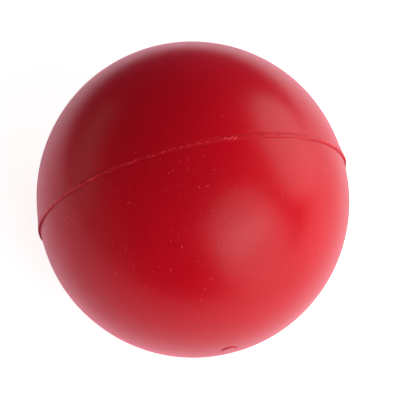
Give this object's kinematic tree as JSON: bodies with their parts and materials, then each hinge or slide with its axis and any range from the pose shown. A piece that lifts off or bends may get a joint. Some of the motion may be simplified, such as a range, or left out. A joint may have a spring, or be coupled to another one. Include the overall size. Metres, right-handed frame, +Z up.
{
  "type": "pet ball",
  "caption": "Hollow red rubber pet ball of moulded half shells bonded at a raised seam bead, with a small plug at one pole, for throwing, fetching and chewing.",
  "frame": {"origin": "the centre of the ball", "axes": "+Y along the mould axis, from the plugged pole at the front to the plain pole at the back; +Z up; the seam lies in the XZ plane"},
  "size_m": [0.0658, 0.0663, 0.0658],
  "materials": {
    "plain_half_rubber": "satin moulded red rubber",
    "plugged_half_rubber": "satin moulded red rubber",
    "seam_bond": "satin red rubber bond, untrimmed",
    "plug_rubber": "satin red rubber"
  },
  "bodies": {
    "root": {"plain_half_shell": "plain_half_rubber", "plugged_half_shell": "plugged_half_rubber", "seam_bond_ring": "seam_bond", "pole_plug": "plug_rubber"}
  },
  "joints": []
}
